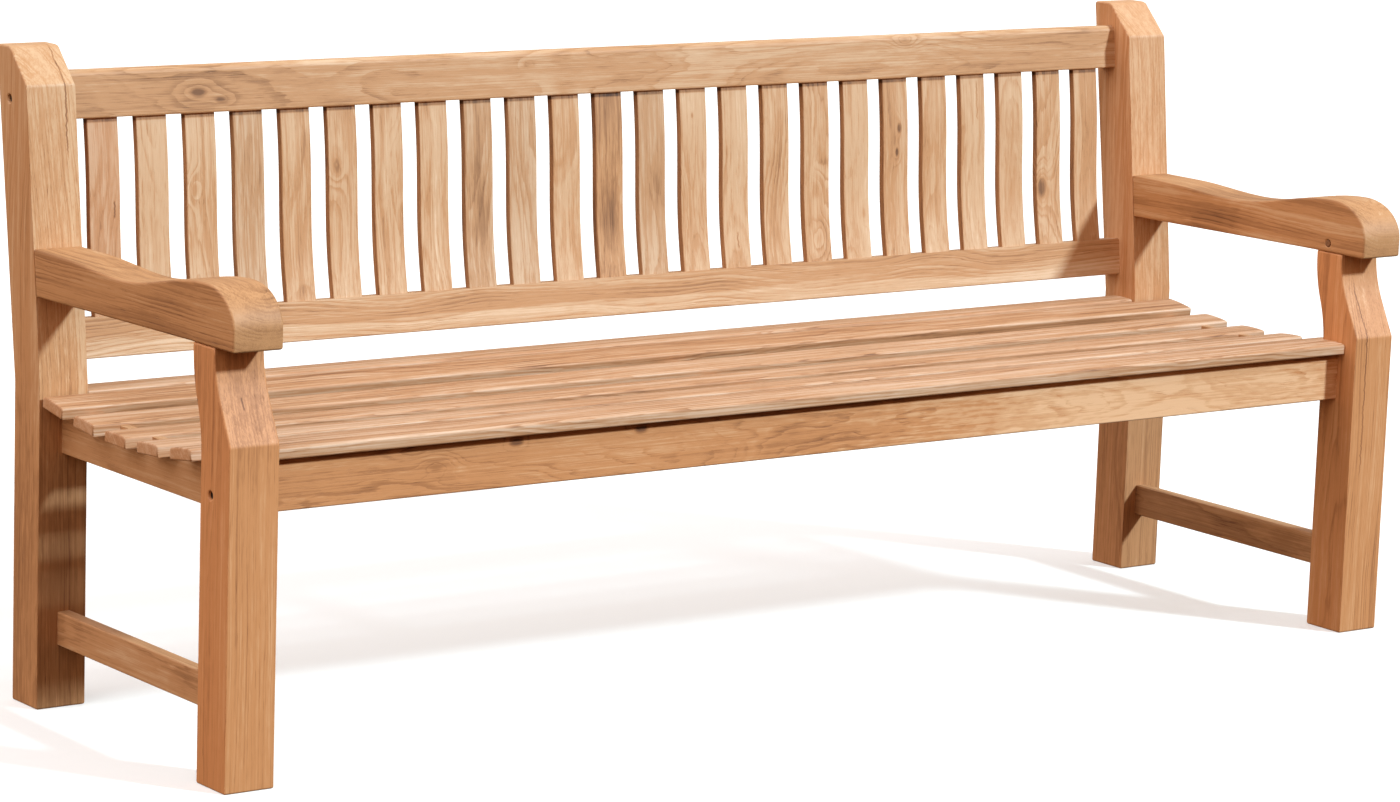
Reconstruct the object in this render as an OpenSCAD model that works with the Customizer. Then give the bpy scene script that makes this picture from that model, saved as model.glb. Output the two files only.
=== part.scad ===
// Slatted garden bench for three or four people, in solid hardwood.
// Two square front legs and two raked rear posts carry a dished slatted seat,
// a back of upright bowed slats between two rails, and two shaped arms.
// The bench stands on z = 0, its length runs along X, and its front faces -Y.
// The origin is under the middle of the bench, halfway between front and back.

/* [Overall] */

// Length over the outer faces of the legs, mm
bench_length = 1800; // [1200:10:2400]

// Width of each leg, post and arm along the bench, mm
post_width = 66; // [50:1:90]

/* [Front legs] */

// Depth of the front leg from front to back below the seat, mm
leg_depth = 65; // [50:1:90]

// Height of the ridge where the leg's front face turns back, mm
ridge_height = 403; // [396:1:440]

// How far the front face has moved back where it meets the arm, mm
neck_setback = 38; // [20:1:46]

// Lean of the straight face just above the ridge, degrees
neck_lean = 26.5; // [22:0.5:35]

// How far the back face sweeps back under the arm, mm
neck_sweep = 21; // [5:1:30]

/* [Rear posts] */

// Distance from the front leg's face to the rear post's face, mm
post_setback = 450; // [450:1:460]

// Depth of the post measured square to its front face, mm
post_depth = 64; // [60:1:80]

// Extra depth of the post at its top, where its back face leans further, mm
post_top_gain = 7; // [0:1:12]

// Height where the post starts to lean back, mm
rake_height = 400; // [395:1:410]

// Lean of the post and of the back, degrees
rake_angle = 6.3; // [3:0.1:10]

// Height of the top of the post, mm
post_height = 800; // [790:1:900]

// Height where the bevel on the post's front face starts, mm
bevel_height = 757; // [745:1:770]

// Slope of that bevel above level, degrees
bevel_angle = 45; // [35:1:55]

/* [Arms] */

// Height of the underside of the arm, mm
arm_underside = 511; // [500:1:530]

// Rise of the arm's top above the arm's front underside, at the rear post, mm
arm_rear = 52; // [46:1:60]

// Fall of the arm's underside from the front leg to the rear post, mm
arm_drop = 5; // [0:1:10]

// Thickness of the arm at the dip in the middle, mm
arm_dip = 46; // [40:1:52]

// Thickness of the arm above the front leg, mm
arm_front = 71.5; // [60:0.5:80]

// Overhang of the arm's nose in front of the leg, mm
nose_overhang = 4; // [0:1:20]

/* [Seat] */

// Width of each middle seat slat, mm
seat_slat_width = 49; // [40:1:60]

// Thickness of the seat slats, mm
seat_slat_thick = 15; // [12:1:18]

// Spacing of the middle seat slats, centre to centre, mm
seat_pitch = 76; // [70:1:80]

// Distance from the leg's face to the centre of the first middle slat, mm
first_slat_y = 118.5; // [112:0.5:122]

// Height of the lowest point of the dished seat, mm
dish_low = 373.3; // [370:0.1:380]

// Distance from the leg's face to the lowest point of the dish, mm
dish_y = 262; // [240:1:280]

// Curvature of the dish, 1/mm
dish_curve = 0.00046; // [0:0.00001:0.0006]

// Inset of the slat ends from the posts' outer faces, mm
slat_inset = 3; // [0:1:10]

/* [Back] */

// Width of each back slat, mm
back_slat_width = 43; // [35:1:50]

// Thickness of each back slat, mm
back_slat_thick = 10; // [8:1:14]

// Distance of the back slats behind the front face of the back rails, mm
back_slat_inset = 4; // [3:0.5:9]

// Spacing of the back slats, centre to centre, mm
back_pitch = 67.9; // [60:0.1:68]

// Depth of the shallow bow in each back slat, mm
slat_bow = 2.2; // [0:0.1:5]

/* [Hidden] */

$fn = 48;
eps = 0.01;

teak = [0.78, 0.56, 0.37];
teak_warm = [0.74, 0.50, 0.32];
teak_pale = [0.83, 0.63, 0.44];
steel = [0.35, 0.34, 0.33];

// X of the left outer face, of its inner face, and of the leg's centre line
x_out = -bench_length / 2;
x_in = x_out + post_width;
x_mid = x_out + post_width / 2;
// clear length between the legs
span = bench_length - 2 * post_width;

rake_k = tan(rake_angle);
// point on the post's back face where the lean starts
back_kink = rake_height - post_depth * tan(rake_angle / 2);
// rearmost point of the bench, measured from the leg's front face
y_back = post_setback + post_depth + (post_height - back_kink) * rake_k + post_top_gain;
// halfway between the arm's nose and the top of the posts
y_centre = (y_back - nose_overhang) / 2;

// seat frame
apron_y = 33;          // front face of the front rail
rail_thick = 28;       // front and rear rails
frame_bottom = 316;    // underside of the front and rear rails
apron_top = 379;
rear_rail_y = post_setback + 5;
rear_rail_top = 375;
side_inset = 31;       // outer face of the side rail from the leg's outer face
side_thick = 30;
side_bottom = 315;
low_tenon = [324, 352];  // heights of the tenons that run along the bench
high_tenon = [354, 370]; // heights of the tenons that run front to back
tenon_thick = 12;
tenon_long = 32;
apron_tenon_y = apron_y + 3;
rear_tenon_y = rear_rail_y + 8;
side_tenon_x = x_out + side_inset + 9;
side_tenon_long = 28;

// side stretchers
str_thick = 18;
str_x = x_out + 27.5;
str_z = [78, 120];
str_tenon = [86, 112];
str_tenon_long = 25;

// back rails, in the leaning frame of the posts (u back from the face, v up)
rail_u = [31, 59];
low_v = [24.5, 74.8];
top_v = [316, 375.6];
rail_tenon_u = [39, 51];
low_tenon_v = [32, 67];
top_tenon_v = [324, 364];
slat_u = rail_u[0] + back_slat_inset + back_slat_thick / 2;
slat_n = 24;
slat_tenon = [31, 14, 6];  // width, length, thickness

// bolts from the outer faces into the ends of the front and top rails
bolt_r = 3;
bolt_head_r = 5;
bolt_sink = 4;
bolt_head_h = 4;
bolt_end = 80;
apron_bolt = [apron_tenon_y + tenon_thick / 2, 341];
top_bolt = [(rail_u[0] + rail_u[1]) / 2, (top_tenon_v[0] + top_tenon_v[1]) / 2];

// pegs through the arms into the tenons on the leg tops
peg_r = 4.5;
peg_y = 66;
peg_z = 523;
peg_long = 56;

// points of a circular arc, angles in degrees
function arc(cx, cy, r, a0, a1, n) =
    [for (i = [0:n]) let (a = a0 + (a1 - a0) * i / n) [cx + r * cos(a), cy + r * sin(a)]];
// half a cosine wave from p to q as t goes from 0 to 1
function ease(p, q, t) = p + (q - p) * (1 - cos(180 * t)) / 2;

// A side profile in (y, z), extruded along X from x for a width w
module along_x(x, w, pts) {
    translate([x, 0, 0]) rotate([90, 0, 90]) linear_extrude(height = w) polygon(pts);
}
// A box between two corners
module box(a, b) {
    translate(a) cube([b[0] - a[0], b[1] - a[1], b[2] - a[2]]);
}
// A round bar or bore along X
module rod_x(x0, x1, y, z, r) {
    translate([x0, y, z]) rotate([0, 90, 0]) cylinder(h = x1 - x0, r = r);
}
// Moves a piece from leg coordinates, measured from the leg's face, to the bench frame
module place() { translate([0, -y_centre, 0]) children(); }
// The leaning frame of the back
module lean() { translate([0, post_setback, rake_height]) rotate([-rake_angle, 0, 0]) children(); }
module both() { children(); mirror([1, 0, 0]) children(); }

// ---------- front legs ----------
neck_h = arm_underside - ridge_height;
neck_r = (neck_h * sin(neck_lean) - neck_setback * cos(neck_lean)) / (1 - cos(neck_lean));
sweep_z0 = 385;
sweep_h = 120;
sweep_r = (pow(sweep_h, 2) + pow(neck_sweep, 2)) / (4 * neck_sweep);
function leg_profile() = concat(
    [[0, 0], [leg_depth, 0], [leg_depth, sweep_z0]],
    [for (i = [1:9]) let (h = i * sweep_h / 18)
        [leg_depth + sweep_r - sqrt(pow(sweep_r, 2) - pow(h, 2)), sweep_z0 + h]],
    [for (i = [8:-1:0]) let (h = i * sweep_h / 18)
        [leg_depth + neck_sweep - sweep_r + sqrt(pow(sweep_r, 2) - pow(h, 2)), sweep_z0 + sweep_h - h]],
    [[leg_depth + neck_sweep, arm_underside]],
    [for (i = [0:8]) let (a = neck_lean * i / 8)
        [neck_setback - neck_r * (1 - cos(a)), arm_underside - neck_r * sin(a)]],
    [[0, ridge_height]]);
module leg_tenon() { box([x_mid - 13, 50, arm_underside - eps], [x_mid + 13, 76, arm_underside + 28]); }

module front_leg() {
    difference() {
        union() {
            along_x(x_out, post_width, leg_profile());
            leg_tenon();
        }
        // mortises for the front rail, the side rail and the stretcher
        box([x_in - tenon_long, apron_tenon_y, low_tenon[0]], [x_in + 5, apron_tenon_y + tenon_thick, low_tenon[1]]);
        box([side_tenon_x, leg_depth - side_tenon_long, high_tenon[0]], [side_tenon_x + tenon_thick, leg_depth + 5, high_tenon[1]]);
        box([str_x + 4, leg_depth - str_tenon_long, str_tenon[0]], [str_x + str_thick - 4, leg_depth + 5, str_tenon[1]]);
        // counterbore and bore for the bolt, and the bore for the arm's peg
        rod_x(x_out - 1, x_out + bolt_sink + bolt_head_h, apron_bolt[0], apron_bolt[1], bolt_head_r);
        rod_x(x_out - 1, x_in - tenon_long + 1, apron_bolt[0], apron_bolt[1], bolt_r);
        rod_x(x_in - peg_long, x_in + 1, peg_y, peg_z, peg_r);
    }
}

// ---------- rear posts ----------
bevel_y = post_setback + (bevel_height - rake_height) * rake_k;
bevel_run = (post_height - bevel_height) / tan(bevel_angle);
round_r = 12;
round_t = round_r * tan(bevel_angle / 2);
function post_profile() = concat(
    [[post_setback, 0], [post_setback, rake_height], [bevel_y, bevel_height]],
    arc(bevel_y + bevel_run + round_t, post_height - round_r, round_r, 90 + bevel_angle, 90, 6),
    arc(y_back - 4, post_height - 4, 4, 90, 0, 4),
    [[post_setback + post_depth, back_kink], [post_setback + post_depth, 0]]);
module arm_tenon() {
    box([x_mid - 9, post_setback + 2, 524], [x_mid + 9, post_setback + 42, 548]);
}

module rear_post() {
    difference() {
        along_x(x_out, post_width, post_profile());
        // mortises for the rear seat rail, the side rail, the stretcher and the arm
        box([x_in - tenon_long, rear_tenon_y, low_tenon[0]], [x_in + 5, rear_tenon_y + tenon_thick, low_tenon[1]]);
        box([side_tenon_x, post_setback - 5, high_tenon[0]], [side_tenon_x + tenon_thick, post_setback + side_tenon_long, high_tenon[1]]);
        box([str_x + 4, post_setback - 5, str_tenon[0]], [str_x + str_thick - 4, post_setback + str_tenon_long, str_tenon[1]]);
        arm_tenon();
        lean() {
            box([x_in - tenon_long, rail_tenon_u[0], low_tenon_v[0]], [x_in + 5, rail_tenon_u[1], low_tenon_v[1]]);
            box([x_in - tenon_long, rail_tenon_u[0], top_tenon_v[0]], [x_in + 5, rail_tenon_u[1], top_tenon_v[1]]);
            rod_x(x_out - 1, x_out + bolt_sink + bolt_head_h, top_bolt[0], top_bolt[1], bolt_head_r);
            rod_x(x_out - 1, x_in - tenon_long + 1, top_bolt[0], top_bolt[1], bolt_r);
        }
    }
}

// ---------- arms ----------
nose_run = 64;
nose_drop = 47.5;
dip_y = 262;
crest_y = 400;
arm_end = post_setback + (arm_underside + arm_rear - rake_height) * rake_k;
function arm_profile() = concat(
    [[-nose_overhang, arm_underside], [leg_depth + neck_sweep + 10, arm_underside],
     [post_setback + (arm_underside - arm_drop - rake_height) * rake_k, arm_underside - arm_drop],
     [arm_end, arm_underside + arm_rear]],
    [for (i = [0:9]) let (t = i / 9)
        [crest_y + (dip_y - crest_y) * t, arm_underside + ease(arm_rear, arm_dip, t)]],
    [for (i = [1:14]) let (t = i / 14)
        [dip_y + (nose_run - nose_overhang - dip_y) * t, arm_underside + ease(arm_dip, arm_front, t)]],
    [for (i = [1:12]) let (a = 90 * i / 12)
        [nose_run - nose_overhang - nose_run * sin(a), arm_underside + arm_front - nose_drop * (1 - cos(a))]]);

module arm() {
    difference() {
        union() {
            along_x(x_out, post_width, arm_profile());
            arm_tenon();
        }
        leg_tenon_space();
        rod_x(x_in - peg_long, x_in + 1, peg_y, peg_z, peg_r);
    }
}
module leg_tenon_space() { box([x_mid - 13, 50, arm_underside - 5], [x_mid + 13, 76, arm_underside + 28]); }

// ---------- seat frame ----------
function seat_z(y) = dish_low + dish_curve * pow(y - dish_y, 2);
function seat_tilt(y) = atan(2 * dish_curve * (y - dish_y));
mid_n = 5;
function mid_y(i) = first_slat_y + i * seat_pitch;
// front (s = -1) or rear (s = 1) end of the underside of middle slat i
function under(i, s) = let (y = mid_y(i), a = seat_tilt(y))
    [y + seat_slat_thick * sin(a) + s * seat_slat_width / 2 * cos(a),
     seat_z(y) - seat_slat_thick * cos(a) + s * seat_slat_width / 2 * sin(a)];
// top edge of the side rails and the bearer, flat under each slat
function dished_top() = [for (i = [mid_n - 1:-1:0]) for (s = [1, -1]) under(i, s)];
function rail_profile(y0, y1, zb) = concat([[y0, zb], [y1, zb], [y1, under(mid_n - 1, 1)[1]]],
    dished_top(), [[y0, under(0, -1)[1]]]);

module side_rail() {
    union() {
        along_x(x_out + side_inset, side_thick, rail_profile(leg_depth, post_setback, side_bottom));
        box([side_tenon_x, leg_depth - side_tenon_long, high_tenon[0]], [side_tenon_x + tenon_thick, post_setback + side_tenon_long, high_tenon[1]]);
    }
}
module cross_rail(y, top, tenon_y) {
    box([-span / 2, y, frame_bottom], [span / 2, y + rail_thick, top]);
    box([-span / 2 - tenon_long, tenon_y, low_tenon[0]], [span / 2 + tenon_long, tenon_y + tenon_thick, low_tenon[1]]);
}
bearer_x = 16;
bearer_bottom = 328;
bearer_tenon = [340, 362];
module bearer_tenons(extra) {
    box([-6, apron_y + rail_thick - 10, bearer_tenon[0]], [6, apron_y + rail_thick + extra, bearer_tenon[1]]);
    box([-6, rear_rail_y - extra, bearer_tenon[0]], [6, rear_rail_y + 10, bearer_tenon[1]]);
}
module stretcher() {
    union() {
        box([str_x, leg_depth, str_z[0]], [str_x + str_thick, post_setback, str_z[1]]);
        box([str_x + 4, leg_depth - str_tenon_long, str_tenon[0]], [str_x + str_thick - 4, post_setback + str_tenon_long, str_tenon[1]]);
    }
}

// ---------- seat slats ----------
crown = 0.8;
function slat_section(w, t, rf, rr) = concat(
    [[-w / 2, -t], [w / 2, -t]],
    arc(w / 2 - rr, -crown - rr, rr, 0, 90, 4),
    [for (i = [7:-1:1]) let (u = i / 4 - 1)
        [(w / 2 - rf) * u, -crown * u * u]],
    arc(-w / 2 + rf, -crown - rf, rf, 90, 180, 4));
module seat_board(y, z, tilt, w, len) {
    translate([0, y, z]) rotate([tilt, 0, 0]) along_x(-len / 2, len, slat_section(w, seat_slat_thick, 3.5, 5));
}
front_slat_w = 48;
rear_slat_w = 44;
module mid_slat(i) {
    seat_board(mid_y(i), seat_z(mid_y(i)), seat_tilt(mid_y(i)), seat_slat_width, bench_length - 2 * slat_inset);
}

// ---------- back ----------
back_h = top_v[0] - low_v[1];
function bow(t) = slat_bow * (sin(180 * t) - sin(360 * t));
bow_n = 16;
function slat_side() = concat(
    [for (i = [0:bow_n]) let (t = i / bow_n) [slat_u - back_slat_thick / 2 + bow(t), top_v[0] - back_h * t]],
    [for (i = [bow_n:-1:0]) let (t = i / bow_n) [slat_u + back_slat_thick / 2 + bow(t), top_v[0] - back_h * t]]);
function slat_x(i) = (i - (slat_n + 1) / 2) * back_pitch;
module slat_tenon_at(x, v0, v1) {
    box([x - slat_tenon[0] / 2, slat_u - slat_tenon[2] / 2, v0], [x + slat_tenon[0] / 2, slat_u + slat_tenon[2] / 2, v1]);
}
module back_slat(i) {
    lean() {
        along_x(slat_x(i) - back_slat_width / 2, back_slat_width, slat_side());
        slat_tenon_at(slat_x(i), low_v[1] - slat_tenon[1], low_v[1] + 2);
        slat_tenon_at(slat_x(i), top_v[0] - 2, top_v[0] + slat_tenon[1]);
    }
}
module back_rail_tenons(tv) {
    box([-span / 2 - tenon_long, rail_tenon_u[0], tv[0]], [-span / 2 + 1, rail_tenon_u[1], tv[1]]);
    box([span / 2 - 1, rail_tenon_u[0], tv[0]], [span / 2 + tenon_long, rail_tenon_u[1], tv[1]]);
}
top_round = 9;
function top_rail_section() = concat(
    [[rail_u[0], top_v[0]], [rail_u[1], top_v[0]]],
    arc(rail_u[1] - 5, top_v[1] - 5, 5, 0, 90, 5),
    arc(rail_u[0] + top_round, top_v[1] - top_round, top_round, 90, 180, 8));

// ---------- bolts and pegs ----------
module bolt(y, z) {
    rod_x(x_out + bolt_sink, x_out + bolt_sink + bolt_head_h, y, z, bolt_head_r);
    rod_x(x_out + bolt_sink + bolt_head_h - eps, x_out + bolt_end, y, z, bolt_r);
}
module bolt_bore(y, z) { both() rod_x(x_in - tenon_long - 1, x_out + bolt_end, y, z, bolt_r); }

// ================= sub-parts =================
module front_leg_left() { color(teak) place() front_leg(); }
module front_leg_right() { color(teak) place() mirror([1, 0, 0]) front_leg(); }
module rear_post_left() { color(teak) place() rear_post(); }
module rear_post_right() { color(teak) place() mirror([1, 0, 0]) rear_post(); }
module arm_left() { color(teak_warm) place() arm(); }
module arm_right() { color(teak_warm) place() mirror([1, 0, 0]) arm(); }
module front_seat_rail() {
    color(teak) place() difference() {
        cross_rail(apron_y, apron_top, apron_tenon_y);
        bolt_bore(apron_bolt[0], apron_bolt[1]);
        bearer_tenons(5);
    }
}
module rear_seat_rail() {
    color(teak) place() difference() {
        cross_rail(rear_rail_y, rear_rail_top, rear_tenon_y);
        bearer_tenons(5);
    }
}
module side_seat_rail_left() { color(teak) place() side_rail(); }
module side_seat_rail_right() { color(teak) place() mirror([1, 0, 0]) side_rail(); }
module centre_seat_bearer() {
    color(teak) place() {
        along_x(-bearer_x, 2 * bearer_x, rail_profile(apron_y + rail_thick, rear_rail_y, bearer_bottom));
        bearer_tenons(2);
    }
}
module side_stretcher_left() { color(teak) place() stretcher(); }
module side_stretcher_right() { color(teak) place() mirror([1, 0, 0]) stretcher(); }
module back_top_rail() {
    color(teak) place() lean() difference() {
        union() {
            along_x(-span / 2, span, top_rail_section());
            back_rail_tenons(top_tenon_v);
        }
        for (i = [1:slat_n]) slat_tenon_at(slat_x(i), top_v[0] - 5, top_v[0] + slat_tenon[1]);
        bolt_bore(top_bolt[0], top_bolt[1]);
    }
}
module back_bottom_rail() {
    color(teak) place() lean() difference() {
        union() {
            box([-span / 2, rail_u[0], low_v[0]], [span / 2, rail_u[1], low_v[1]]);
            back_rail_tenons(low_tenon_v);
        }
        for (i = [1:slat_n]) slat_tenon_at(slat_x(i), low_v[1] - slat_tenon[1], low_v[1] + 5);
    }
}
module seat_slat_front() {
    color(teak_pale) place() seat_board(20 + front_slat_w / 2, apron_top + seat_slat_thick, 0, front_slat_w, span - 2);
}
module seat_slat_mid_1() { color(teak_pale) place() mid_slat(0); }
module seat_slat_mid_2() { color(teak_pale) place() mid_slat(1); }
module seat_slat_mid_3() { color(teak_pale) place() mid_slat(2); }
module seat_slat_mid_4() { color(teak_pale) place() mid_slat(3); }
module seat_slat_mid_5() { color(teak_pale) place() mid_slat(4); }
module seat_slat_rear() {
    color(teak_pale) place() seat_board(post_setback + 2 + rear_slat_w / 2, rear_rail_top + seat_slat_thick, 0, rear_slat_w, span - 2);
}
module back_slat_01() { color(teak_pale) place() back_slat(1); }
module back_slat_02() { color(teak_pale) place() back_slat(2); }
module back_slat_03() { color(teak_pale) place() back_slat(3); }
module back_slat_04() { color(teak_pale) place() back_slat(4); }
module back_slat_05() { color(teak_pale) place() back_slat(5); }
module back_slat_06() { color(teak_pale) place() back_slat(6); }
module back_slat_07() { color(teak_pale) place() back_slat(7); }
module back_slat_08() { color(teak_pale) place() back_slat(8); }
module back_slat_09() { color(teak_pale) place() back_slat(9); }
module back_slat_10() { color(teak_pale) place() back_slat(10); }
module back_slat_11() { color(teak_pale) place() back_slat(11); }
module back_slat_12() { color(teak_pale) place() back_slat(12); }
module back_slat_13() { color(teak_pale) place() back_slat(13); }
module back_slat_14() { color(teak_pale) place() back_slat(14); }
module back_slat_15() { color(teak_pale) place() back_slat(15); }
module back_slat_16() { color(teak_pale) place() back_slat(16); }
module back_slat_17() { color(teak_pale) place() back_slat(17); }
module back_slat_18() { color(teak_pale) place() back_slat(18); }
module back_slat_19() { color(teak_pale) place() back_slat(19); }
module back_slat_20() { color(teak_pale) place() back_slat(20); }
module back_slat_21() { color(teak_pale) place() back_slat(21); }
module back_slat_22() { color(teak_pale) place() back_slat(22); }
module back_slat_23() { color(teak_pale) place() back_slat(23); }
module back_slat_24() { color(teak_pale) place() back_slat(24); }
module frame_bolts() {
    color(steel) place() both() {
        bolt(apron_bolt[0], apron_bolt[1]);
        lean() bolt(top_bolt[0], top_bolt[1]);
    }
}
module arm_pegs() {
    color(teak_warm) place() both() rod_x(x_in - peg_long, x_in, peg_y, peg_z, peg_r);
}

front_leg_left();
front_leg_right();
rear_post_left();
rear_post_right();
arm_left();
arm_right();
front_seat_rail();
rear_seat_rail();
side_seat_rail_left();
side_seat_rail_right();
centre_seat_bearer();
side_stretcher_left();
side_stretcher_right();
back_top_rail();
back_bottom_rail();
seat_slat_front();
seat_slat_mid_1();
seat_slat_mid_2();
seat_slat_mid_3();
seat_slat_mid_4();
seat_slat_mid_5();
seat_slat_rear();
back_slat_01();
back_slat_02();
back_slat_03();
back_slat_04();
back_slat_05();
back_slat_06();
back_slat_07();
back_slat_08();
back_slat_09();
back_slat_10();
back_slat_11();
back_slat_12();
back_slat_13();
back_slat_14();
back_slat_15();
back_slat_16();
back_slat_17();
back_slat_18();
back_slat_19();
back_slat_20();
back_slat_21();
back_slat_22();
back_slat_23();
back_slat_24();
frame_bolts();
arm_pegs();
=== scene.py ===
"""A teak garden bench: the CAD boards get eased edges, grain, knots and a camera."""

import math
import random

import bmesh
import bpy
from mathutils import Euler, Matrix, Vector
from mathutils.bvhtree import BVHTree


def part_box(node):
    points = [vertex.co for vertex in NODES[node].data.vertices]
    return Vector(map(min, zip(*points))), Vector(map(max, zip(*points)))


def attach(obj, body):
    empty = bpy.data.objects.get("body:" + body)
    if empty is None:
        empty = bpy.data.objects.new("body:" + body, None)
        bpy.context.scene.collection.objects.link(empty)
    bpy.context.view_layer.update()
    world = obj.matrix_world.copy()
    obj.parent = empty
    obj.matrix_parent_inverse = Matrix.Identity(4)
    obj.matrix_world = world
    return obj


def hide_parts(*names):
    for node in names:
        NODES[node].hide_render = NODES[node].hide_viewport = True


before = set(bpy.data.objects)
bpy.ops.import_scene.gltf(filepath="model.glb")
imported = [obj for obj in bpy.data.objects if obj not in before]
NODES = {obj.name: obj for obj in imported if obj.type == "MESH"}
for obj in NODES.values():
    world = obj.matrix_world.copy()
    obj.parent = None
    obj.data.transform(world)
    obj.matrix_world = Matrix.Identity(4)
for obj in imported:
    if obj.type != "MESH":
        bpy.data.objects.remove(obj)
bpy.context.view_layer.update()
scene = bpy.context.scene

# ---------------------------------------------------------------- camera
LENS = 122.27  # millimetres
SENSOR = 36.0  # millimetres
FAR_CLIP = 200.0
CAMERA_X = -3.5707
CAMERA_BEFORE_LEG = 4.5405  # how far the camera stands in front of the front legs
CAMERA_Z = 1.4316
CAMERA_TURN = (79.6557, -1.9235, -35.8446)  # degrees

cam_data = bpy.data.cameras.new("camera")
cam_data.sensor_width = SENSOR
cam_data.lens = LENS
cam_data.clip_end = FAR_CLIP
camera = bpy.data.objects.new("camera", cam_data)
camera.location = (CAMERA_X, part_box("front_leg_left")[0].y - CAMERA_BEFORE_LEG, CAMERA_Z)
camera.rotation_euler = Euler([math.radians(a) for a in CAMERA_TURN], "XYZ")
scene.collection.objects.link(camera)
scene.camera = camera


# ---------------------------------------------------------------- node helpers
class Tree:
    """Short ways to add and join shader nodes, in a tree that starts empty."""

    def __init__(self, tree):
        self.tree = tree
        tree.nodes.clear()

    def add(self, kind, **props):
        n = self.tree.nodes.new(kind)
        for key, value in props.items():
            setattr(n, key, value)
        return n

    def put(self, socket, value):
        if isinstance(value, bpy.types.NodeSocket):
            self.tree.links.new(value, socket)
        elif value is not None:
            socket.default_value = value

    def math(self, op, a, b=None, c=None):
        n = self.add("ShaderNodeMath", operation=op)
        for socket, value in zip(n.inputs, (a, b, c)):
            self.put(socket, value)
        return n.outputs[0]

    def vec(self, op, a, b=None):
        n = self.add("ShaderNodeVectorMath", operation=op)
        self.put(n.inputs[0], a)
        self.put(n.inputs["Scale" if op == "SCALE" else 1], b)
        return n.outputs["Value" if op in ("LENGTH", "DOT_PRODUCT") else "Vector"]

    def noise(self, vector, scale, detail=2.0, rough=0.5):
        """Noise of a vector stretched by three scales; gives the node."""
        n = self.add("ShaderNodeTexNoise", noise_dimensions="3D")
        self.put(n.inputs["Vector"], self.vec("MULTIPLY", vector, scale))
        n.inputs["Scale"].default_value = 1.0
        n.inputs["Detail"].default_value = detail
        n.inputs["Roughness"].default_value = rough
        return n

    def noise_along(self, value, detail=2.0, rough=0.5):
        """Noise that changes along one number only."""
        n = self.add("ShaderNodeTexNoise", noise_dimensions="1D")
        self.put(n.inputs["W"], value)
        n.inputs["Scale"].default_value = 1.0
        n.inputs["Detail"].default_value = detail
        n.inputs["Roughness"].default_value = rough
        return n.outputs[0]

    def split(self, vector):
        n = self.add("ShaderNodeSeparateXYZ")
        self.put(n.inputs[0], vector)
        return n.outputs

    def span(self, value, lo, hi, out_lo=0.0, out_hi=1.0, smooth=True):
        n = self.add("ShaderNodeMapRange", interpolation_type="SMOOTHSTEP" if smooth else "LINEAR")
        for i, v in enumerate((value, lo, hi, out_lo, out_hi)):
            self.put(n.inputs[i], v)
        return n.outputs[0]

    def grey(self, value):
        n = self.add("ShaderNodeCombineColor")
        for socket in n.inputs[:3]:
            self.put(socket, value)
        return n.outputs[0]

    def mix(self, fac, a, b, blend="MIX"):
        n = self.add("ShaderNodeMix", data_type="RGBA", blend_type=blend)
        self.put(n.inputs[0], fac)
        self.put(n.inputs[6], a)
        self.put(n.inputs[7], b)
        return n.outputs[2]

    def ramp(self, fac, stops):
        n = self.add("ShaderNodeValToRGB")
        n.color_ramp.interpolation = "EASE"
        e = n.color_ramp.elements
        while len(e) < len(stops):
            e.new(0.5)
        for el, (pos, col) in zip(e, stops):
            el.position = pos
            el.color = (*col, 1.0)
        self.put(n.inputs[0], fac)
        return n.outputs[0]


# ---------------------------------------------------------------- teak
TEAK_STOPS = [
    (0.00, (0.070, 0.028, 0.012)),
    (0.22, (0.185, 0.076, 0.029)),
    (0.45, (0.345, 0.156, 0.062)),
    (0.65, (0.480, 0.234, 0.101)),
    (0.85, (0.570, 0.340, 0.190)),
    (1.00, (0.660, 0.440, 0.280)),
]
MID_TONE = 0.68


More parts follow.
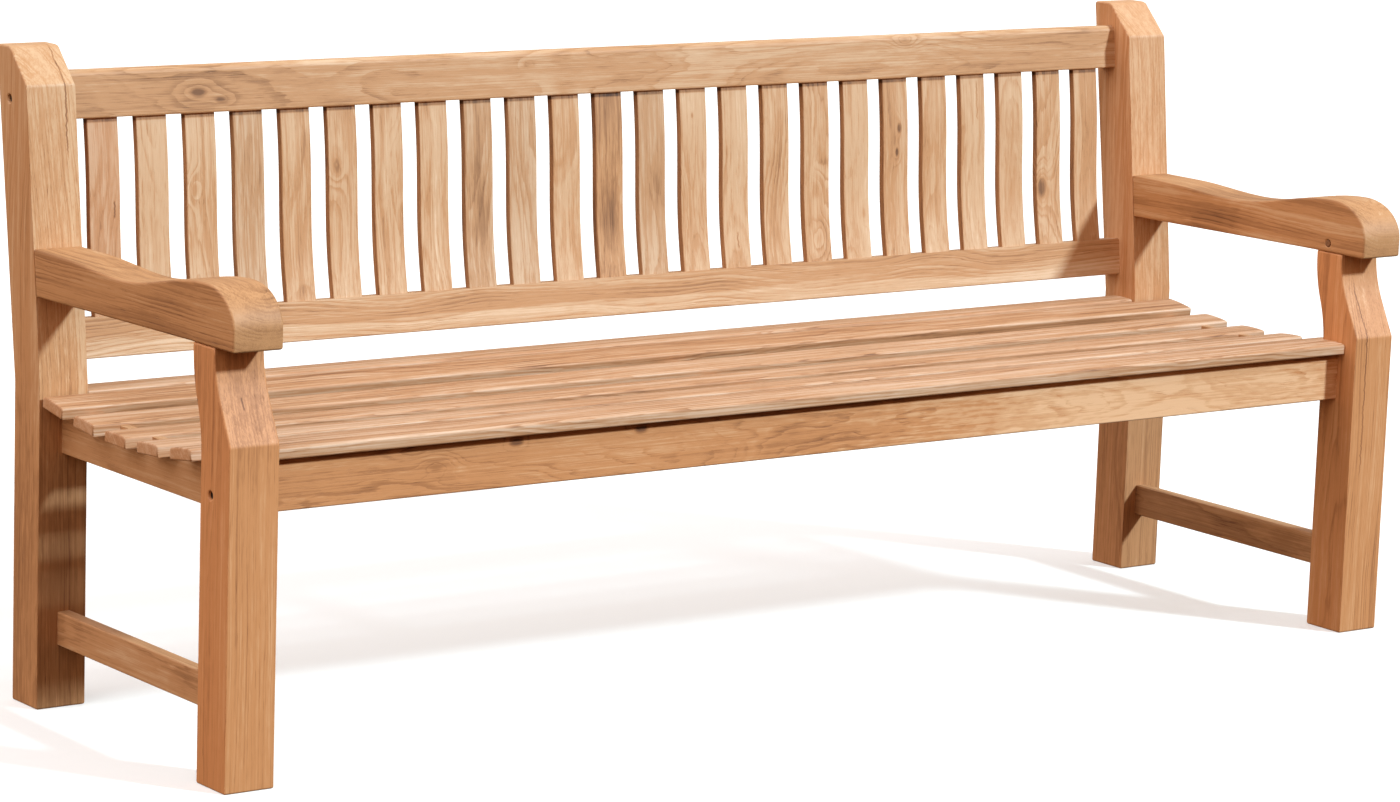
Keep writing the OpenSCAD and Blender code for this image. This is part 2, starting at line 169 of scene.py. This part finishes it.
def teak_group():
    """Teak figure: growth rings about a pith line, streaks along the grain, blotches and pores."""
    g = bpy.data.node_groups.new("teak_figure", "ShaderNodeTree")
    g.interface.new_socket("Vector", in_out="INPUT", socket_type="NodeSocketVector")
    for name in ("Seed", "Pith Y", "Pith Z", "Taper", "Spacing", "Rings", "Streaks", "Blotches", "Push",
                 "Wander", "Ripple", "Bands", "Flecks", "Mottle"):
        g.interface.new_socket(name, in_out="INPUT", socket_type="NodeSocketFloat")
    for name in ("Tone", "Height"):
        g.interface.new_socket(name, in_out="OUTPUT", socket_type="NodeSocketFloat")
    t = Tree(g)
    i = t.add("NodeGroupInput").outputs
    o = t.add("NodeGroupOutput").inputs
    v = t.vec("ADD", i["Vector"], t.vec("SCALE", (0.731, 1.377, 2.093), i["Seed"]))

    # distance from the pith line, which wanders along the board
    drift = t.split(t.noise(v, (3.0, 8.0, 8.0), 1.5).outputs["Color"])
    x, y, z = t.split(i["Vector"])
    dy = t.math("SUBTRACT", y, i["Pith Y"])
    dz = t.math("SUBTRACT", z, i["Pith Z"])
    dy = t.math("MULTIPLY_ADD", t.math("SUBTRACT", drift[0], 0.5), i["Wander"], dy)
    dz = t.math("MULTIPLY_ADD", t.math("SUBTRACT", drift[1], 0.5), i["Wander"], dz)
    r = t.math("SQRT", t.math("MULTIPLY_ADD", dy, dy, t.math("MULTIPLY", dz, dz)))
    r = t.math("MULTIPLY_ADD", x, i["Taper"], r)
    ripple = t.math("SUBTRACT", t.noise(v, (13.0, 75.0, 75.0), 3.0, 0.55).outputs[0], 0.5)
    r = t.math("MULTIPLY_ADD", ripple, i["Ripple"], r)
    r = t.math("ADD", r, i["Push"])

    # broad bands and thin dark lines that follow the rings
    band = t.noise_along(t.math("MULTIPLY_ADD", r, 60.0, t.math("MULTIPLY", i["Seed"], 3.1)), 3.0, 0.6)
    bands = t.math("SUBTRACT", band, 0.5)
    phase = t.math("DIVIDE", r, i["Spacing"])
    uneven = t.noise_along(t.math("MULTIPLY_ADD", i["Seed"], 7.7, t.math("MULTIPLY", phase, 0.42)))
    saw = t.math("FRACT", t.math("MULTIPLY_ADD", uneven, 2.4, phase))
    rise = t.span(saw, 0.20, 0.90)
    line = t.math("MULTIPLY", t.math("MULTIPLY", rise, rise), t.span(saw, 0.90, 1.0, 1.0, 0.0))
    fading = t.noise(v, (5.0, 28.0, 28.0), 1.0).outputs[0]
    line = t.math("MULTIPLY", line, t.span(fading, 0.30, 0.68, 0.15, 1.0))

    # streaks, flecks, pores and blotches drawn out along the grain
    wide = t.math("SUBTRACT", t.noise(v, (1.6, 120.0, 120.0), 3.0, 0.6).outputs[0], 0.5)
    thin = t.math("SUBTRACT", t.noise(v, (6.0, 520.0, 520.0), 2.5, 0.65).outputs[0], 0.5)
    fleck = t.span(t.noise(v, (24.0, 330.0, 330.0), 2.0).outputs[0], 0.60, 0.74)
    pores = t.span(t.noise(v, (38.0, 1500.0, 1500.0), 1.0).outputs[0], 0.60, 0.72)
    pores = t.math("MULTIPLY", pores, t.math("MULTIPLY_ADD", line, 0.8, 0.35))
    blotch = t.math("SUBTRACT", t.noise(v, (4.0, 17.0, 17.0), 2.5).outputs[0], 0.5)
    mottle = t.math("SUBTRACT", t.noise(v, (42.0, 170.0, 170.0), 3.0, 0.6).outputs[0], 0.5)

    tone = t.math("MULTIPLY_ADD", line, t.math("MULTIPLY", i["Rings"], -1.0), MID_TONE + 0.02)
    tone = t.math("MULTIPLY_ADD", bands, i["Bands"], tone)
    tone = t.math("MULTIPLY_ADD", wide, i["Streaks"], tone)
    tone = t.math("MULTIPLY_ADD", thin, t.math("MULTIPLY", i["Streaks"], 1.1), tone)
    tone = t.math("MULTIPLY_ADD", blotch, i["Blotches"], tone)
    tone = t.math("MULTIPLY_ADD", mottle, i["Mottle"], tone)
    tone = t.math("MULTIPLY_ADD", fleck, t.math("MULTIPLY", i["Flecks"], -1.0), tone)
    tone = t.math("MULTIPLY_ADD", pores, -0.20, tone)
    t.put(o["Tone"], tone)
    h = t.math("MULTIPLY_ADD", thin, 0.7, t.math("MULTIPLY", line, -0.25))
    t.put(o["Height"], t.math("MULTIPLY_ADD", pores, -0.8, h))
    return g


TEAK = teak_group()


def distance_from(t, v, along, across, size, reach):
    """How far a point is from a mark on the face, in sizes; `reach` draws the mark out along the grain.

    The mark changes little through the board, so it shows on both faces.
    """
    flat = t.vec("MULTIPLY", t.vec("SUBTRACT", v, (along, across, 0.0)), (1.0 / reach, 1.0, 0.08))
    return t.math("DIVIDE", t.vec("LENGTH", flat), size)


def teak(name, centre, grain, width, seed, taper, spacing, pith=(0.0, -0.09), rings=0.16, streaks=0.40,
         blotches=0.32, bands=0.36, flecks=0.11, mottle=0.16, wander=0.03, ripple=0.005, tone=0.0,
         tint=(1.0, 1.0, 1.0), knots=(), stains=(), splits=(), cracks=(), sides=0.0, joint=None, grime=None):
    """A teak material in a board's own axes: X along the grain, Y across its width, Z through it.

    knots (along, across, size, depth) bend the rings round them.
    stains (along, across, size, depth) are soft dark patches, or pale ones where the depth is negative; some
    are painted shade.
    splits (across, lift) change the tone beyond a wavy line along the grain.
    cracks (along, across, half length, depth) are short dark lines.
    sides is painted shade: it darkens the narrow faces.
    joint (along, depth) is a dark line across the board, partly a dark joint and partly painted shade.
    grime (across, depth) is painted shadow: a dark strip along one edge, where an overhanging board's shadow
    falls.
    Places are in metres from the board's middle; depths are steps down the teak ramp.
    """
    m = bpy.data.materials.new("teak_" + name)
    m.use_nodes = True
    t = Tree(m.node_tree)
    g = Vector(grain).normalized()
    w = (Vector(width) - g * Vector(width).dot(g)).normalized()
    axes = Matrix((g, w, g.cross(w)))
    place = t.add("ShaderNodeMapping", vector_type="POINT")
    t.put(place.inputs["Vector"], t.add("ShaderNodeTexCoord").outputs["Object"])
    place.inputs["Location"].default_value = -(axes @ Vector(centre))
    place.inputs["Rotation"].default_value = axes.to_euler("XYZ")
    v = place.outputs[0]
    f = t.add("ShaderNodeGroup", node_tree=TEAK)
    figure = {
        "Vector": v, "Seed": seed, "Pith Y": pith[0], "Pith Z": pith[1], "Taper": taper, "Spacing": spacing,
        "Rings": rings, "Streaks": streaks, "Blotches": blotches, "Bands": bands, "Flecks": flecks,
        "Mottle": mottle, "Wander": wander, "Ripple": ripple,
    }
    for key, number in figure.items():
        t.put(f.inputs[key], number)
    value = t.math("ADD", f.outputs["Tone"], tone)
    push = 0.0
    for along, across, size, depth in knots:
        far = distance_from(t, v, along, across, size, 2.0)
        hill = t.math("EXPONENT", t.math("MULTIPLY", t.math("MULTIPLY", far, far), -0.6))
        push = t.math("MULTIPLY_ADD", hill, size * 1.5, push)
        value = t.math("SUBTRACT", value, t.span(far, 0.25, 0.85, depth, 0.0))
    t.put(f.inputs["Push"], push)
    # each entry is a stain or a patch of painted shade
    for along, across, size, depth in stains:
        far = distance_from(t, v, along, across, size, 2.4)
        far = t.math("MULTIPLY_ADD", t.noise(v, (40.0, 220.0, 220.0), 2.0).outputs[0], 1.1, far)
        value = t.math("SUBTRACT", value, t.span(far, 0.7, 1.7, depth, 0.0))
    x, y, _ = t.split(v)
    # a dark line across the board: partly a dark joint, partly painted shade
    if joint:
        off = t.math("ABSOLUTE", t.math("SUBTRACT", x, joint[0]))
        value = t.math("SUBTRACT", value, t.span(off, 0.0010, 0.0034, joint[1], 0.0))
    # painted shadow: a dark strip along the board's edge, under an overhang
    if grime:
        strip = t.span(y, grime[0] - 0.0015, grime[0] + 0.0015, 0.0, grime[1])
        value = t.math("SUBTRACT", value, strip)
    if splits or cracks:
        wave = t.math("SUBTRACT", t.noise(v, (2.6, 6.0, 6.0), 2.0).outputs[0], 0.5)
        for across, lift in splits:
            beyond = t.math("MULTIPLY_ADD", wave, 0.035, t.math("SUBTRACT", y, across))
            value = t.math("ADD", value, t.span(beyond, -0.0025, 0.0025, 0.0, lift))
        jag = t.math("SUBTRACT", t.noise(v, (45.0, 0.0, 0.0), 3.0, 0.7).outputs[0], 0.5)
        for along, across, half, depth in cracks:
            off = t.math("MULTIPLY_ADD", jag, 0.010, t.math("SUBTRACT", y, across))
            near = t.span(t.math("ABSOLUTE", off), 0.0004, 0.0016, depth, 0.0)
            ends = t.math("ABSOLUTE", t.math("SUBTRACT", x, along))
            near = t.math("MULTIPLY", near, t.span(ends, half * 0.7, half, 1.0, 0.0))
            value = t.math("SUBTRACT", value, near)
    facing = t.add("ShaderNodeNewGeometry").outputs["True Normal"]
    end = t.span(t.math("ABSOLUTE", t.vec("DOT_PRODUCT", facing, tuple(g))), 0.55, 0.9)
    # painted shade on the narrow faces, which look into the dark gaps between boards
    if sides:
        narrow = t.span(t.math("ABSOLUTE", t.vec("DOT_PRODUCT", facing, tuple(w))), 0.80, 0.97)
        value = t.math("MULTIPLY_ADD", narrow, -sides, value)
    plainer = t.math("SUBTRACT", MID_TONE + tone, value)
    value = t.math("MULTIPLY_ADD", plainer, t.math("MULTIPLY", end, 0.55), value)
    # the eased edges are painted lighter: partly wear, partly painted highlight
    edge = t.add("ShaderNodeAttribute", attribute_name="edge").outputs["Fac"]
    wear = t.span(t.noise(v, (22.0, 22.0, 22.0), 2.0).outputs[0], 0.35, 0.65, 0.25, 1.0)
    value = t.math("MULTIPLY_ADD", t.math("MULTIPLY", edge, wear), 0.22, value)
    colour = t.mix(1.0, t.ramp(value, TEAK_STOPS), (*tint, 1.0), "MULTIPLY")
    bsdf = t.add("ShaderNodeBsdfPrincipled")
    t.put(bsdf.inputs["Base Color"], colour)
    t.put(bsdf.inputs["Roughness"], t.math("MULTIPLY_ADD", value, -0.12, 0.66))
    bsdf.inputs["IOR"].default_value = 1.45
    bump = t.add("ShaderNodeBump")
    bump.inputs["Strength"].default_value = 0.45
    bump.inputs["Distance"].default_value = 0.0005
    t.put(bump.inputs["Height"], f.outputs["Height"])
    t.put(bsdf.inputs["Normal"], bump.outputs[0])
    t.put(t.add("ShaderNodeOutputMaterial").inputs[0], bsdf.outputs[0])
    return m


def bolt_steel():
    m = bpy.data.materials.new("bolt_steel")
    m.use_nodes = True
    t = Tree(m.node_tree)
    v = t.add("ShaderNodeTexCoord").outputs["Object"]
    n = t.noise(v, (400.0, 400.0, 400.0), 3.0).outputs[0]
    bsdf = t.add("ShaderNodeBsdfPrincipled")
    # the near-black base colour is partly the steel's own and partly painted shade, so the bolt heads read as
    # dark holes
    t.put(bsdf.inputs["Base Color"], t.ramp(n, [(0.3, (0.010, 0.008, 0.006)), (0.7, (0.028, 0.020, 0.015))]))
    t.put(bsdf.inputs["Roughness"], t.span(n, 0.3, 0.7, 0.45, 0.75))
    bsdf.inputs["Metallic"].default_value = 0.4
    t.put(t.add("ShaderNodeOutputMaterial").inputs[0], bsdf.outputs[0])
    return m


# ---------------------------------------------------------------- boards with eased edges
PROBE = 0.0009  # how far outside an edge the test point lies; shoulders and mortises stay sharp
STEP_ON = 1e-6  # how far past a surface the ray starts again
MOST_HITS = 60
EASE_SEGMENTS = 2
FLAT_ANGLE = math.radians(0.4)  # faces closer than this are one flat face
EASED_ANGLE = math.radians(24)  # edges duller than this are not eased
SHARP_ANGLE = math.radians(46)  # edges sharper than this are shaded sharp

TREES = {}
BOXES = {}
for node, src in NODES.items():
    corners = [v.co for v in src.data.vertices]
    TREES[node] = BVHTree.FromPolygons(corners, [p.vertices for p in src.data.polygons])
    BOXES[node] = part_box(node)


def inside_other(point, own):
    """True where a point is inside another board, so that the edge there is a shoulder or a mortise."""
    way = Vector((0.5377, 0.6211, 0.5701)).normalized()  # in line with no face of the bench
    for node, tree in TREES.items():
        lo, hi = BOXES[node]
        if node == own or not all(lo[k] <= point[k] <= hi[k] for k in range(3)):
            continue
        hits, start = 0, point.copy()
        for _ in range(MOST_HITS):
            hit = tree.ray_cast(start, way)[0]
            if hit is None:
                break
            hits += 1
            start = hit + way * STEP_ON
        if hits % 2:
            return True
    return False


def board(node, radius, material):
    """A new piece in a CAD node's exact shape, with its free edges rounded as sanded edges are.

    The vertices inside a rounded edge carry the attribute by which the teak material makes them lighter,
    partly as wear and partly as painted highlight.
    """
    src = NODES[node].data
    bm = bmesh.new()
    verts = [bm.verts.new(v.co) for v in src.vertices]
    for p in src.polygons:
        bm.faces.new([verts[k] for k in p.vertices])
    bmesh.ops.remove_doubles(bm, verts=bm.verts[:], dist=2e-6)
    bmesh.ops.dissolve_degenerate(bm, dist=1e-6, edges=bm.edges[:])
    bmesh.ops.recalc_face_normals(bm, faces=bm.faces[:])
    bmesh.ops.dissolve_limit(bm, angle_limit=FLAT_ANGLE, verts=bm.verts[:], edges=bm.edges[:])
    free = []
    for e in bm.edges:
        if len(e.link_faces) != 2 or not e.is_convex or e.calc_face_angle(0.0) < EASED_ANGLE:
            continue
        mid = (e.verts[0].co + e.verts[1].co) / 2
        out = e.link_faces[0].normal + e.link_faces[1].normal
        if not inside_other(mid + out.normalized() * PROBE, node):
            free.append(e)
    made = bmesh.ops.bevel(bm, geom=free, offset=radius, offset_type="OFFSET", segments=EASE_SEGMENTS,
                           profile=0.5, affect="EDGES", clamp_overlap=False, loop_slide=True)
    soft = set(made["faces"])
    layer = bm.verts.layers.float.new("edge")
    for v in made["verts"]:
        if v.is_valid and v.link_faces and all(f in soft for f in v.link_faces):
            v[layer] = 1.0
    for f in bm.faces:
        f.smooth = True
    for e in bm.edges:
        e.smooth = e.calc_face_angle(0.0) < SHARP_ANGLE
    me = bpy.data.meshes.new(node + "_board")
    bm.to_mesh(me)
    bm.free()
    ob = bpy.data.objects.new(node + "_board", me)
    scene.collection.objects.link(ob)
    even = ob.modifiers.new("even_normals", "WEIGHTED_NORMAL")
    even.keep_sharp = True
    me.materials.append(material)
    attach(ob, "root")
    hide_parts(node)


# ---------------------------------------------------------------- the look of each board
X, Y, Z = Vector((1, 0, 0)), Vector((0, 1, 0)), Vector((0, 0, 1))
rng = random.Random(11)
LEAN = math.radians(6.3)  # lean of the bench's back
LEAN_UP = Vector((0, math.sin(LEAN), math.cos(LEAN)))


def make(node, radius, grain, width, **look):
    """One board in its own teak, cut from its own log; `look` holds what the photo shows of it."""
    log = dict(
        seed=rng.uniform(0, 40), taper=rng.choice((-1, 1)) * rng.uniform(0.008, 0.025),
        spacing=rng.uniform(0.0042, 0.0062),
    )
    log.update(look)
    lo, hi = BOXES[node]
    board(node, radius, teak(node, (lo + hi) / 2, grain, width, **log))


# radii of the sanded edges
SQUARE_EASE = 0.0024  # legs and posts
ARM_EASE = 0.003
RAIL_EASE = 0.0022
SEAT_RAIL_EASE = 0.002
SIDE_RAIL_EASE = 0.0015
THIN_EASE = 0.0018  # stretchers and back slats
PEG_EASE = 0.0004

GREY = (0.94, 0.98, 1.04)
ROSY = (1.0, 0.95, 0.97)
PLAIN = dict(rings=0.10, blotches=0.22, streaks=0.34)  # straight, quiet grain
WAVY = dict(wander=0.07, ripple=0.009, rings=0.21)  # cathedral grain

LEG = dict(tone=-0.03, tint=(1.16, 0.98, 0.82), spacing=0.0048, blotches=0.26, streaks=0.34, rings=0.15,
           bands=0.28, flecks=0.05)
make("front_leg_left", SQUARE_EASE, Z, X, pith=(0.11, -0.05), cracks=[(0.178, -0.004, 0.008, 0.30)],
     stains=[(0.19, 0.0, 0.05, 0.13)], **LEG)
make("front_leg_right", SQUARE_EASE, Z, X, pith=(0.11, -0.05), cracks=[(0.08, -0.013, 0.15, 0.30)], **LEG)
make("rear_post_left", SQUARE_EASE, Z, X, pith=(-0.10, -0.06), splits=[(0.018, 0.07)],
     # the dark patch low on the post is painted shade, where the seat keeps the light off
     cracks=[(0.34, 0.019, 0.08, 0.42)], stains=[(-0.27, 0.0, 0.13, 0.25)],
     **{**LEG, "tone": 0.05, "tint": (1.03, 1.0, 0.95)})
# the dark patch low on the post is painted shade, where the seat keeps the light off
make("rear_post_right", SQUARE_EASE, Z, X, pith=(-0.10, -0.06), stains=[(-0.30, 0.0, 0.13, 0.19)],
     **{**LEG, "tone": 0.06, "tint": (1.08, 1.0, 0.94)})
ARM = dict(tint=(1.0, 0.96, 0.88), streaks=0.40, blotches=0.50, bands=0.5, rings=0.2)
make("arm_left", ARM_EASE, Y, X, pith=(0.02, -0.08), tone=-0.10, stains=[(-0.10, -0.033, 0.03, 0.10)], **ARM)
make("arm_right", ARM_EASE, Y, X, pith=(0.02, -0.08), tone=-0.06, stains=[(0.06, -0.033, 0.035, 0.16)], **ARM)
for side in ("left", "right"):
    make("side_seat_rail_" + side, SIDE_RAIL_EASE, Y, Z, tone=0.02)
    make("side_stretcher_" + side, THIN_EASE, Y, Z, tone=-0.04, bands=0.7,
         stains=[(-0.12, 0.0, 0.02, 0.15)])
make("front_seat_rail", SEAT_RAIL_EASE, X, Z, pith=(0.015, -0.06), taper=0.012, spacing=0.0055,
     tone=-0.01, blotches=0.34,
     knots=[(-0.49, 0.022, 0.008, 0.45), (-0.31, 0.022, 0.008, 0.45), (-0.60, 0.004, 0.011, 0.04)],
     # the dark strip along the rail's top is painted shadow, under the front seat slat's overhang
     tint=(1.18, 1.0, 0.85), stains=[(0.55, 0.0, 0.24, -0.34)], grime=(0.0235, 0.32),
     **{**WAVY, "wander": 0.09})
make("rear_seat_rail", SEAT_RAIL_EASE, X, Z, tone=-0.02)
make("centre_seat_bearer", SIDE_RAIL_EASE, Y, Z)
make("back_top_rail", RAIL_EASE, X, LEAN_UP, pith=(-0.005, -0.06), tone=0.07, wander=0.06, ripple=0.006,
     knots=[(-0.648, -0.004, 0.010, 0.30), (-0.616, -0.014, 0.007, 0.32), (-0.16, 0.012, 0.005, 0.08),
            (0.458, 0.018, 0.009, 0.08)],
     # the lift in tone on the rail's top strip is a painted highlight
     stains=[(-0.74, 0.0, 0.13, 0.19), (0.70, 0.0, 0.12, 0.12)], splits=[(0.026, 0.06)])
make("back_bottom_rail", RAIL_EASE, X, LEAN_UP, pith=(0.11, -0.03), tone=0.22, splits=[(-0.006, -0.19)],
     spacing=0.005, rings=0.24, wander=0.05)
SEAT_TONES = {
    "front": 0.13, "mid_1": 0.05, "mid_2": 0.10, "mid_3": 0.04, "mid_4": 0.09, "mid_5": 0.05, "rear": 0.08,
}
for name, tone in SEAT_TONES.items():
    make("seat_slat_" + name, RAIL_EASE, X, Y, pith=(rng.uniform(0.03, 0.1), -0.06), tone=tone, streaks=0.85,
         tint=(0.99, 0.95, 0.98), rings=0.26, flecks=0.16, spacing=0.0045)

# partly a dark joint, partly painted shade of the top rail's lower edge on the slat
SLAT_JOINT = (0.1175, 0.40)  # the dark line where a back slat goes into the top rail
SLAT_LOOKS = {
    1: dict(tone=0.01, tint=ROSY, cracks=[(0.008, 0.013, 0.012, 0.4)]),
    2: dict(tone=0.12, **PLAIN),
    3: dict(tone=0.11, knots=[(0.026, -0.011, 0.007, 0.18)]),
    4: dict(tone=0.03, tint=GREY, streaks=0.7, flecks=0.14, stains=[(0.03, 0.014, 0.014, 0.12)]),
    5: dict(tone=0.08, streaks=0.55, stains=[(0.067, 0.017, 0.012, 0.15)]),
    6: dict(tone=0.11, knots=[(0.045, -0.010, 0.008, 0.16)], wander=0.09),
    7: dict(tone=0.07, flecks=0.14, **WAVY),
    8: dict(tone=0.08, streaks=0.55, flecks=0.12),
    9: dict(tone=0.05, tint=GREY, streaks=0.6, stains=[(-0.032, 0.0, 0.022, 0.20), (0.10, 0.01, 0.014, 0.1)]),
    10: dict(tone=0.07, tint=GREY, flecks=0.12),
    11: dict(tone=0.09, flecks=0.12, **WAVY),
    12: dict(tone=-0.07, streaks=0.6, stains=[(-0.035, 0.0, 0.024, 0.20), (0.09, -0.012, 0.02, 0.12)]),
    13: dict(tone=0.07, tint=GREY, stains=[(-0.01, 0.0, 0.02, 0.12)]),
    14: dict(tone=0.13, knots=[(0.085, -0.002, 0.003, 0.25)], **WAVY),
    15: dict(tone=0.11, cracks=[(-0.084, 0.002, 0.012, 0.3)], **PLAIN),
    16: dict(tone=0.10, **WAVY),
    17: dict(tone=0.07, knots=[(-0.025, -0.002, 0.009, 0.10), (-0.09, 0.003, 0.012, 0.03)], **WAVY),
    18: dict(tone=0.11, knots=[(-0.06, 0.012, 0.006, 0.10)], **PLAIN),
    19: dict(tone=0.08, knots=[(0.053, 0.006, 0.006, 0.45), (0.020, 0.002, 0.005, 0.45)], **WAVY),
    20: dict(tone=0.09, wander=0.06),
    21: dict(tone=0.11, cracks=[(0.085, 0.007, 0.03, 0.25)], wander=0.06),
    22: dict(tone=0.10, **PLAIN),
    23: dict(tone=0.07, knots=[(-0.042, -0.012, 0.012, 0.50)], **WAVY),
    24: dict(tone=0.09, wander=0.06),
}
for number, look in SLAT_LOOKS.items():
    # the back slats' narrow sides get painted shade
    make("back_slat_%02d" % number, THIN_EASE, LEAN_UP, X, sides=0.30, joint=SLAT_JOINT,
         pith=(rng.uniform(-0.03, 0.03), rng.uniform(-0.06, -0.035)), **{"blotches": 0.42, **look})
make("arm_pegs", PEG_EASE, X, Z, tone=-0.42)
NODES["frame_bolts"].data.materials.clear()
NODES["frame_bolts"].data.materials.append(bolt_steel())

# ---------------------------------------------------------------- floor and light
FLOOR = 40.0  # half the floor's side
FLOOR_COLOUR = (0.62, 0.60, 0.57, 1)
FLOOR_GLOW = (1.0, 0.985, 0.97, 1)
FLOOR_GLOW_STRENGTH = 0.42

floor_mesh = bpy.data.meshes.new("floor")
corners = [(-FLOOR, -FLOOR, 0), (FLOOR, -FLOOR, 0), (FLOOR, FLOOR, 0), (-FLOOR, FLOOR, 0)]
floor_mesh.from_pydata(corners, [], [(0, 1, 2, 3)])
floor = bpy.data.objects.new("floor", floor_mesh)
scene.collection.objects.link(floor)
pale = bpy.data.materials.new("pale_floor")
pale.use_nodes = True
skin = pale.node_tree.nodes["Principled BSDF"]
skin.inputs["Base Color"].default_value = FLOOR_COLOUR
skin.inputs["Roughness"].default_value = 0.9
skin.inputs["Emission Color"].default_value = FLOOR_GLOW
skin.inputs["Emission Strength"].default_value = FLOOR_GLOW_STRENGTH
floor_mesh.materials.append(pale)
floor.visible_diffuse = False
floor.visible_glossy = False

SUN_SIZE = math.radians(5.5)  # wide enough for soft shadows
SUN_COLOUR = (0.66, 0.88, 1.0)  # with the warm sky this gives white sunlight on the wood
SUN_FROM = Vector((0.47, -0.71, 0.53))
SUN_POWER = 4.6
SEAT_SUN_POWER = 4.2


def sunlight(name, energy, lit, casters=()):
    """A sun that lights only `lit`; where casters are given, only they throw its shadows."""
    data = bpy.data.lights.new(name, "SUN")
    data.energy = energy
    data.angle = SUN_SIZE
    data.color = SUN_COLOUR
    ob = bpy.data.objects.new(name, data)
    ob.rotation_euler = SUN_FROM.to_track_quat("Z", "Y").to_euler()
    scene.collection.objects.link(ob)
    for field, members in (("receiver_collection", lit), ("blocker_collection", casters)):
        if members:
            group = bpy.data.collections.new(name + "_" + field)
            for m in members:
                group.objects.link(m)
            setattr(ob.light_linking, field, group)


SHOWN = [o for o in scene.objects if o.type == "MESH" and not o.hide_render]
SEAT = [o for o in SHOWN if o.name.startswith("seat_slat")]
REST = [o for o in SHOWN if not o.name.startswith("seat_slat")]
ROUND_SEAT = [o for o in SHOWN if o.name.startswith(("seat_", "back_", "front_seat"))]
sunlight("sun", SUN_POWER, REST)
sunlight("sun_on_seat", SEAT_SUN_POWER, SEAT, ROUND_SEAT)

# sky colours by height, from straight down at 0 to straight up at 1
SKY_STOPS = [
    (0.00, (0.04, 0.022, 0.012)),
    (0.42, (0.10, 0.055, 0.030)),
    (0.51, (0.55, 0.34, 0.20)),
    (0.59, (1.15, 0.86, 0.60)),
    (0.75, (1.22, 1.05, 0.91)),
    (1.00, (1.08, 1.18, 1.36)),
]
LEFT_TINT = (0.975, 1.05, 1.14, 1.0)
FRONT_TINT = (0.38, 0.27, 0.18, 1.0)

world = bpy.data.worlds.new("studio")
world.use_nodes = True
w = Tree(world.node_tree)
way_x, way_y, way_z = w.split(w.add("ShaderNodeTexCoord").outputs["Generated"])
dome = w.ramp(w.span(way_z, -1.0, 1.0, smooth=False), SKY_STOPS)
back_dimmed = w.span(way_y, -0.1, 0.8, 1.0, 0.70)
left_raised = w.span(way_x, -0.8, 0.2, 1.95, 0.88)
dome = w.mix(1.0, dome, w.grey(w.math("MULTIPLY", back_dimmed, left_raised)), "MULTIPLY")
at_left = w.span(way_x, -0.8, 0.2, 1.0, 0.0)
dome = w.mix(at_left, dome, w.mix(1.0, dome, LEFT_TINT, "MULTIPLY"))
in_front = w.span(way_y, -0.9, -0.15, 1.0, 0.0)
dome = w.mix(in_front, dome, w.mix(1.0, dome, FRONT_TINT, "MULTIPLY"))
sky, plain = w.add("ShaderNodeBackground"), w.add("ShaderNodeBackground")
w.put(sky.inputs[0], dome)
sky.inputs[1].default_value = 1.0
plain.inputs[0].default_value = (1, 1, 1, 1)
both = w.add("ShaderNodeMixShader")
w.put(both.inputs[0], w.add("ShaderNodeLightPath").outputs["Is Camera Ray"])
w.put(both.inputs[1], sky.outputs[0])
w.put(both.inputs[2], plain.outputs[0])
w.put(w.add("ShaderNodeOutputWorld").inputs[0], both.outputs[0])
scene.world = world
scene.view_settings.view_transform = "Standard"
